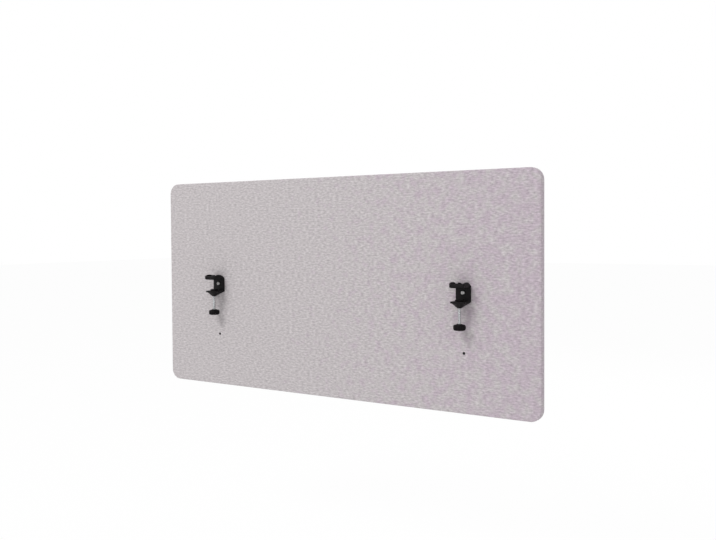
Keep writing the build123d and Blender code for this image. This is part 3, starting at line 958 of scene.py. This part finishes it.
def make_padding(side, outer_face, inner_face, holes, material):
    """The thin soft layer between a cover and its board."""
    cover = settings().cover
    bm = bmesh.new()
    panel_grid(bm, cover.edge_rounding)
    for spot in holes:
        cut_round(bm, spot, cover.hole_radius)
    made = bmesh.ops.extrude_face_region(bm, geom=bm.faces[:], use_keep_orig=True)["geom"]
    bmesh.ops.translate(bm, verts=verts_of(made), vec=(0, inner_face - outer_face, 0))
    bmesh.ops.translate(bm, verts=bm.verts[:], vec=(0, outer_face, MIDDLE_HEIGHT))
    bmesh.ops.recalc_face_normals(bm, faces=bm.faces[:])
    uneven(bm, settings().inner.felt_roughness / 2)
    piece = finish_piece(bm, f"felt_{side}_padding", material, replaces=[f"{side}_padding"])


def make_infill(side, material):
    """A slab of pressed felt that fills one bay of the frame."""
    longest_left_whole = 0.02
    inner = settings().inner
    low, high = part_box(f"infill_{side}")
    margin = inner.felt_roughness
    size = high - low - Vector((margin, margin, margin)) * 2
    bm = bmesh.new()
    slab = Matrix.Translation((low + high) / 2) @ Matrix.Diagonal((*size, 1))
    bmesh.ops.create_cube(bm, size=1, matrix=slab)
    soften(bm, inner.felt_rounding, segments=2)
    long_edges = [edge for edge in bm.edges if edge.calc_length() > longest_left_whole]
    bmesh.ops.subdivide_edges(bm, edges=long_edges, cuts=24, use_grid_fill=True)
    uneven(bm, inner.felt_roughness)
    piece = finish_piece(bm, f"felt_infill_{side}", material, replaces=[f"infill_{side}"])


class DESKSCREEN_OT_felt(bpy.types.Operator):
    """Make the padding under the covers and the infill of the frame's bays"""

    bl_idname = "desk_screen.felt"
    bl_label = "Felt layers"

    def execute(self, context):
        inner = settings().inner
        padding = felt("padding_felt", inner.padding_felt)
        low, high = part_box("front_padding")
        make_padding("front", low.y, high.y, hole_places(), padding)
        low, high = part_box("rear_padding")
        make_padding("rear", high.y, low.y, [], padding)
        infill = felt("infill_felt", inner.infill_felt)
        for side in ("left", "middle", "right"):
            make_infill(side, infill)
        return {"FINISHED"}


class DESKSCREEN_OT_inner_frame(bpy.types.Operator):
    """Give the timber frame, its dowels and the pin boards their finish"""

    bl_idname = "desk_screen.inner_frame"
    bl_label = "Frame and boards"

    def execute(self, context):
        along = softwood("rail_timber", grain=(3, 45, 45))
        upright = softwood("upright_timber", grain=(45, 45, 3))
        dowel = softwood("dowel_timber", grain=(160, 160, 12))
        board = fibre_board()
        finishes = {
            "top_rail": along,
            "bottom_rail": along,
            "left_stile": upright,
            "left_post": upright,
            "right_post": upright,
            "right_stile": upright,
            "frame_dowels": dowel,
            "front_board": board,
            "rear_board": board,
        }
        for node, material in finishes.items():
            mesh_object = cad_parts[node]
            for material_slot in mesh_object.material_slots:
                material_slot.material = material
        return {"FINISHED"}


# Fixings


def towards_front(spot):
    """Lays a shape made on the Z axis along -Y, with its zero height at a spot."""
    return Matrix.Translation(spot) @ Matrix.Rotation(pi / 2, 4, "X")


def screw_head(bm):
    """A button head on the Z axis, its underside at height zero, with a hexagon socket."""
    foot_edge = 0.0002
    socket_edge = 0.0003
    floor_dip = 0.0004
    nearness = 0.00001
    inner = settings().inner
    radius, height, rounding = inner.head_radius, inner.head_height, inner.head_rounding
    socket = inner.socket_flats / sqrt(3)
    floor = height - inner.socket_depth
    shoulder = quarter_arc((radius - rounding, height - rounding), rounding, start=1, steps=5)[::-1]
    profile = [(0, 0), (radius - foot_edge, 0), (radius, foot_edge)] + shoulder
    profile += [(socket + socket_edge, height), (socket, height - socket_edge)]
    profile += [(socket, floor), (0, floor - floor_dip)]
    before = set(bm.verts)
    lathe(bm, profile, SMALL_LATHE_STEPS)
    for vert in set(bm.verts) - before:
        if abs(off_axis(vert) - socket) < nearness and vert.co.z > floor - nearness:
            angle = atan2(vert.co.y, vert.co.x)
            sector = pi / 3
            move_off_axis(vert, inner.socket_flats / 2 / cos((angle + pi / 6) % sector - sector / 2))


def make_mount_screws(material):
    """The two screws that hold the brackets to the panel."""
    shank_steps = 32
    overlap = 0.0001
    tip = 0.0006
    inner = settings().inner
    low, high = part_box("mount_screws")
    shank = high.y - low.y - inner.head_height
    core = inner.thread_radius - inner.thread_depth
    profile = [(0, overlap), (core, overlap), (core, -shank + tip), (core - tip, -shank), (0, -shank)]
    bm = bmesh.new()
    for side in SIDES:
        single = bmesh.new()
        screw_head(single)
        lathe(single, profile, shank_steps)
        wind_thread(single, -shank + tip, 0, core - overlap, inner.thread_radius, inner.thread_pitch)
        seat = Vector((spindle_axis(side).x, low.y + inner.head_height, insert_heights()[1]))
        bmesh.ops.transform(single, verts=single.verts[:], matrix=towards_front(seat))
        copy_into(bm, single)
    finish_piece(bm, "socket_mount_screws", material, replaces=["mount_screws"])


def make_inserts(material):
    """The four flanged sleeves in the posts, threaded inside, whose collars line the cover's holes."""
    overlap = 0.0001
    collar_edge = 0.0001
    flange_edge = 0.0002
    thread_lead = 0.0002
    mouth_edge = 0.0003
    barrel_edge = 0.0004
    inner = settings().inner
    low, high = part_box("threaded_inserts")
    depth = high.y - low.y
    shelf = low.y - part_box("front_board")[0].y
    shelf_foot = shelf - inner.flange_thickness
    bore = inner.thread_radius + inner.thread_clearance
    root = bore + inner.thread_depth
    collar, flange, barrel = inner.collar_radius, inner.flange_radius, inner.barrel_radius
    profile = [(root, -mouth_edge), (root + collar_edge, 0)]
    profile += [(collar - collar_edge, 0), (collar, -collar_edge), (collar, shelf)]
    profile += [(flange - flange_edge, shelf), (flange, shelf - flange_edge), (flange, shelf_foot)]
    profile += [(barrel, shelf_foot), (barrel, -depth + barrel_edge)]
    profile += [(barrel - barrel_edge, -depth), (root, -depth)]
    sleeve = bmesh.new()
    lathe(sleeve, profile, SMALL_LATHE_STEPS, closed=True)
    wind_thread(sleeve, -depth, -thread_lead, root + overlap, bore, inner.thread_pitch)
    bm = bmesh.new()
    for spot in insert_places():
        single = sleeve.copy()
        seat = Vector((spot.x, low.y, spot.z))
        bmesh.ops.transform(single, verts=single.verts[:], matrix=towards_front(seat))
        copy_into(bm, single)
    sleeve.free()
    finish_piece(bm, "threaded_sleeves", material, replaces=["threaded_inserts"])


class DESKSCREEN_OT_fixings(bpy.types.Operator):
    """Make the mounting screws and the threaded inserts"""

    bl_idname = "desk_screen.fixings"
    bl_label = "Screws and inserts"

    def execute(self, context):
        inner = settings().inner
        marks = (90, 900, 90)
        make_mount_screws(plated_steel("screw_zinc", inner.screw_steel, marks, roughness=0.30))
        make_inserts(plated_steel("insert_oxide", inner.insert_steel, marks, roughness=0.45))
        return {"FINISHED"}


# Clamps


class DESKSCREEN_OT_brackets(bpy.types.Operator):
    """Make the two cast brackets"""

    bl_idname = "desk_screen.brackets"
    bl_label = "Brackets"

    def execute(self, context):
        material = powder_coat()
        rounding = settings().clamp.casting_rounding
        for side in SIDES:
            finish_softened(side, "bracket", "cast_bracket", material, rounding, segments=3)
        return {"FINISHED"}


class DESKSCREEN_OT_jaw_pads(bpy.types.Operator):
    """Make the grip pads under the upper jaws"""

    bl_idname = "desk_screen.jaw_pads"
    bl_label = "Jaw pads"

    def execute(self, context):
        material = grip_rubber()
        rounding = settings().clamp.moulding_rounding
        for side in SIDES:
            finish_softened(side, "jaw_pad", "rubber_jaw_pad", material, rounding, segments=2)
        return {"FINISHED"}


def spindle_shape():
    """A clamp screw on the Z axis: hexagon head, threaded shank, neck and button."""
    overlap = 0.0001
    button_edge = 0.0002
    shank_edge = 0.0003
    seat_depth = 0.0005
    clamp = settings().clamp
    low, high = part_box("left_spindle")
    head_top = low.z + clamp.spindle_head_height
    button_foot = high.z - clamp.button_height
    shank_top = button_foot - clamp.neck_length
    thread_low = head_top + clamp.plain_shank
    core, outer, chamfer = clamp.spindle_core, clamp.spindle_radius, clamp.tip_chamfer
    neck, button = clamp.neck_radius, clamp.button_radius
    bm = bmesh.new()
    hexagon(bm, clamp.spindle_head_flats, low.z, head_top)
    soften(bm, clamp.moulding_rounding, segments=2)
    profile = [(0, head_top - seat_depth), (outer, head_top - seat_depth)]
    profile += [(outer, thread_low - shank_edge), (core, thread_low + shank_edge)]
    profile += [(core, shank_top - chamfer), (core - chamfer / 2, shank_top), (neck, shank_top)]
    profile += [(neck, button_foot), (button, button_foot), (button, high.z - button_edge)]
    profile += [(button - button_edge, high.z), (0, high.z)]
    lathe(bm, profile, SMALL_LATHE_STEPS)
    wind_thread(bm, thread_low, shank_top, core - overlap, outer, clamp.spindle_pitch)
    return bm


class DESKSCREEN_OT_spindles(bpy.types.Operator):
    """Make the two clamp screws"""

    bl_idname = "desk_screen.spindles"
    bl_label = "Spindles"

    def execute(self, context):
        steel = settings().clamp.spindle_steel
        material = plated_steel("spindle_zinc", steel, marks=(60, 60, 1600), roughness=0.24)
        shape = spindle_shape()
        for side in SIDES:
            finish_clamp_piece(
                shape.copy(), side, "threaded_spindle", material, "spindle", "screw"
            )
        shape.free()
        return {"FINISHED"}


def make_shoe(side, material):
    """The swivel shoe that snaps over a spindle's button."""
    neck_edge = 0.0002
    top_edge = 0.0004
    clamp = settings().clamp
    low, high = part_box(f"{side}_pressure_plate")
    radius = (high.x - low.x) / 2
    spindle_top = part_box(f"{side}_spindle")[1].z
    neck = clamp.neck_radius + clamp.swivel_clearance
    cavity = clamp.button_radius + clamp.swivel_clearance
    cavity_low = spindle_top - clamp.button_height - clamp.swivel_clearance
    cavity_high = spindle_top + clamp.swivel_clearance
    rounding = clamp.shoe_rounding
    profile = [(0, high.z), (radius - top_edge, high.z), (radius, high.z - top_edge)]
    profile += quarter_arc((radius - rounding, low.z + rounding), rounding, start=0)
    profile += [(neck + neck_edge, low.z), (neck, low.z + neck_edge), (neck, cavity_low)]
    profile += [(cavity, cavity_low), (cavity, cavity_high), (0, cavity_high)]
    bm = bmesh.new()
    lathe(bm, profile)
    finish_clamp_piece(bm, side, "swivel_shoe", material, "pressure_plate", "shoe")


def make_facing(side, material):
    """The shoe's rubber facing, with round grooves in its top."""
    clamp = settings().clamp
    low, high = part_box(f"{side}_pad_facing")
    radius = (high.x - low.x) / 2
    depth, spacing = clamp.groove_depth, clamp.groove_spacing
    profile = [(0, low.z), (radius, low.z), (radius, high.z - depth), (radius - depth, high.z)]
    groove = radius - spacing
    while groove > spacing:
        profile += [(groove + depth, high.z), (groove, high.z - depth), (groove - depth, high.z)]
        groove -= spacing
    profile.append((0, high.z))
    bm = bmesh.new()
    lathe(bm, profile)
    finish_clamp_piece(bm, side, "grooved_facing", material, "pad_facing", "shoe")


class DESKSCREEN_OT_shoes(bpy.types.Operator):
    """Make the swivel shoes and their rubber facings"""

    bl_idname = "desk_screen.shoes"
    bl_label = "Shoes"

    def execute(self, context):
        plastic = moulded_black()
        rubber = grip_rubber()
        for side in SIDES:
            make_shoe(side, plastic)
            make_facing(side, rubber)
        return {"FINISHED"}


def make_knob(side, material):
    """A hand knob with finger flutes, a hub and a pocket for the spindle's head."""
    hub_corner = 0.0002
    mouth_edge = 0.0003
    hub_fillet = 0.0005
    hub_edge = 0.0006
    unfluted_rim = 0.001
    clamp = settings().clamp
    low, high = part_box(f"{side}_knob")
    cap_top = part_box(f"{side}_knob_cap")[1].z
    head_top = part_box(f"{side}_spindle")[0].z + clamp.spindle_head_height
    top = high.z - clamp.hub_height
    radius, rounding, hub = clamp.knob_radius, clamp.knob_rounding, clamp.hub_radius
    bore = clamp.spindle_radius + clamp.cap_clearance
    pocket = (clamp.spindle_head_flats + clamp.cap_clearance) / sqrt(3)
    seat = clamp.cap_radius + clamp.cap_clearance
    profile = [(bore, high.z), (hub - hub_edge, high.z)]
    profile += [(hub - hub_corner, high.z - hub_corner), (hub, high.z - hub_edge)]
    profile += [(hub, top + hub_fillet), (hub + hub_fillet, top)]
    profile += quarter_arc((radius - rounding, top - rounding), rounding, start=1, steps=6)
    profile += quarter_arc((radius - rounding, low.z + rounding), rounding, start=0, steps=6)
    profile += [(seat + mouth_edge, low.z), (seat, low.z + mouth_edge), (seat, cap_top)]
    profile += [(pocket, cap_top), (pocket, head_top), (bore, head_top)]
    bm = bmesh.new()
    lathe(bm, profile, KNOB_STEPS, closed=True)
    for vert in bm.verts:
        spread = off_axis(vert)
        if spread > seat + unfluted_rim:
            share = atan2(vert.co.y, vert.co.x) / (2 * pi) * clamp.flutes
            off_middle = abs(share - round(share)) * 2 / clamp.flute_share
            outward_share = (spread - seat) / (radius - rounding - seat)
            cut = clamp.flute_depth * ease(1 - off_middle) * ease(outward_share)
            move_off_axis(vert, spread - cut)
    finish_clamp_piece(bm, side, "fluted_knob", material, "knob", "screw")


def make_knob_cap(side, material):
    """The disc that closes a knob, dished a little with a raised rim."""
    edge = 0.0003
    low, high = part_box(f"{side}_knob_cap")
    radius = settings().clamp.cap_radius
    profile = [(0, high.z), (radius, high.z), (radius, low.z + edge), (radius - edge, low.z)]
    profile += [(radius - 4 * edge, low.z), (radius - 5 * edge, low.z + edge), (0, low.z + edge)]
    bm = bmesh.new()
    lathe(bm, profile)
    finish_clamp_piece(bm, side, "dished_cap", material, "knob_cap", "screw")


class DESKSCREEN_OT_knobs(bpy.types.Operator):
    """Make the hand knobs and their end caps"""

    bl_idname = "desk_screen.knobs"
    bl_label = "Knobs"

    def execute(self, context):
        material = moulded_black()
        for side in SIDES:
            make_knob(side, material)
            make_knob_cap(side, material)
        return {"FINISHED"}


# Stage


def aim_lamp(name, spot, size, watts, target):
    """A square soft lamp that looks at a target."""
    lamp = bpy.data.lights.new(name, "AREA")
    lamp.shape = "SQUARE"
    lamp.size = size
    lamp.energy = watts
    holder = bpy.data.objects.new(name, lamp)
    holder.location = spot
    holder.rotation_euler = (target - Vector(spot)).to_track_quat("-Z", "Y").to_euler()
    bpy.context.scene.collection.objects.link(holder)


def seen_ray(tree):
    """1 for rays from the camera and for those that gloss or glass sends on, otherwise 0."""
    path = add_node(tree, "ShaderNodeLightPath").outputs
    sharp = calculate(tree, "MAXIMUM", path["Is Glossy Ray"], path["Is Transmission Ray"])
    return calculate(tree, "MAXIMUM", path["Is Camera Ray"], sharp)


def make_world():
    """An even light from all round, and a plain backdrop for what the camera sees."""
    stage = settings().stage
    world = bpy.data.worlds.new("studio")
    world.use_nodes = True
    tree = world.node_tree
    tree.nodes.clear()
    strength = mix_numbers(tree, seen_ray(tree), stage.ambient, 1.0)
    light = {"Color": opaque(stage.backdrop), "Strength": strength}
    background = add_node(tree, "ShaderNodeBackground", light)
    add_node(tree, "ShaderNodeOutputWorld", {"Surface": background.outputs[0]})
    bpy.context.scene.world = world


def make_floor():
    """A pale floor that shows nearly as the backdrop and keeps the object's shadow."""
    stage = settings().stage
    bm = bmesh.new()
    level = front_low.z - stage.floor_drop
    bmesh.ops.create_grid(
        bm, x_segments=1, y_segments=1, size=stage.floor_size / 2, matrix=Matrix.Translation((0, 0, level))
    )
    mesh = bpy.data.meshes.new("floor")
    bm.to_mesh(mesh)
    bm.free()
    floor = bpy.data.objects.new("floor", mesh)
    bpy.context.scene.collection.objects.link(floor)
    material = bpy.data.materials.new("pale_floor")
    material.use_nodes = True
    tree = material.node_tree
    tree.nodes.clear()
    matt = add_node(tree, "ShaderNodeBsdfDiffuse", {"Color": opaque(stage.floor_colour)}).outputs[0]
    glow = add_node(tree, "ShaderNodeEmission", {"Color": opaque(stage.backdrop)}).outputs[0]
    share = calculate(tree, "MULTIPLY", seen_ray(tree), stage.floor_glow)
    surface = add_node(tree, "ShaderNodeMixShader", {0: share, 1: matt, 2: glow}).outputs[0]
    add_node(tree, "ShaderNodeOutputMaterial", {"Surface": surface})
    mesh.materials.append(material)


def make_camera():
    """The camera, at the photograph's viewing angle."""
    stage = settings().stage
    lens = bpy.data.cameras.new("camera")
    lens.lens = stage.lens
    lens.sensor_width = 36
    lens.shift_y = stage.camera_shift
    lens.clip_start = 0.05
    lens.clip_end = 200
    camera = bpy.data.objects.new("camera", lens)
    camera.location = stage.camera_place
    tilted = Matrix.Rotation(pi / 2 - stage.camera_dip, 3, "X") @ Matrix.Rotation(stage.camera_roll, 3, "Z")
    camera.rotation_euler = (Matrix.Rotation(stage.camera_yaw, 3, "Z") @ tilted).to_euler()
    bpy.context.scene.collection.objects.link(camera)
    bpy.context.scene.camera = camera


class DESKSCREEN_OT_stage(bpy.types.Operator):
    """Make the camera, the lamps, the floor and the background"""

    bl_idname = "desk_screen.stage"
    bl_label = "Stage"

    def execute(self, context):
        stage = settings().stage
        middle = Vector((0, 0, MIDDLE_HEIGHT))
        make_camera()
        aim_lamp("key_lamp", stage.key_place, stage.key_size, stage.key_power, middle)
        aim_lamp("fill_lamp", stage.fill_place, stage.fill_size, stage.fill_power, middle)
        aim_lamp("rear_lamp", stage.rear_place, stage.rear_size, stage.rear_power, middle)
        make_world()
        make_floor()
        context.scene.view_settings.view_transform = "Standard"
        return {"FINISHED"}


class DESKSCREEN_PT_pieces(bpy.types.Panel):
    """Lists the desk screen's pieces"""

    bl_idname = "DESKSCREEN_PT_pieces"
    bl_label = "Desk Screen"
    bl_space_type = "VIEW_3D"
    bl_region_type = "UI"
    bl_category = "Desk Screen"

    def draw(self, context):
        for operator in OPERATORS:
            self.layout.operator(operator.bl_idname)
        for group in ("cover", "inner", "clamp", "stage"):
            box = self.layout.box()
            values = getattr(context.scene.desk_screen, group)
            for name in values.__annotations__:
                box.prop(values, name)


OPERATORS = (
    DESKSCREEN_OT_covers,
    DESKSCREEN_OT_felt,
    DESKSCREEN_OT_inner_frame,
    DESKSCREEN_OT_fixings,
    DESKSCREEN_OT_brackets,
    DESKSCREEN_OT_jaw_pads,
    DESKSCREEN_OT_spindles,
    DESKSCREEN_OT_shoes,
    DESKSCREEN_OT_knobs,
    DESKSCREEN_OT_stage,
)
GROUPS = (CoverSettings, InnerSettings, ClampSettings, StageSettings, ScreenSettings)
CLASSES = (*GROUPS, *OPERATORS, DESKSCREEN_PT_pieces)


def register():
    for made_class in CLASSES:
        bpy.utils.register_class(made_class)
    bpy.types.Scene.desk_screen = PointerProperty(
        name="Desk Screen", description="Settings of the desk screen", type=ScreenSettings
    )


def unregister():
    del bpy.types.Scene.desk_screen
    for made_class in reversed(CLASSES):
        bpy.utils.unregister_class(made_class)


def main():
    """Makes every piece and the stage."""
    register()
    bpy.ops.desk_screen.covers()
    bpy.ops.desk_screen.felt()
    bpy.ops.desk_screen.inner_frame()
    bpy.ops.desk_screen.fixings()
    bpy.ops.desk_screen.brackets()
    bpy.ops.desk_screen.jaw_pads()
    bpy.ops.desk_screen.spindles()
    bpy.ops.desk_screen.shoes()
    bpy.ops.desk_screen.knobs()
    bpy.ops.desk_screen.stage()


if __name__ == "__main__":
    main()
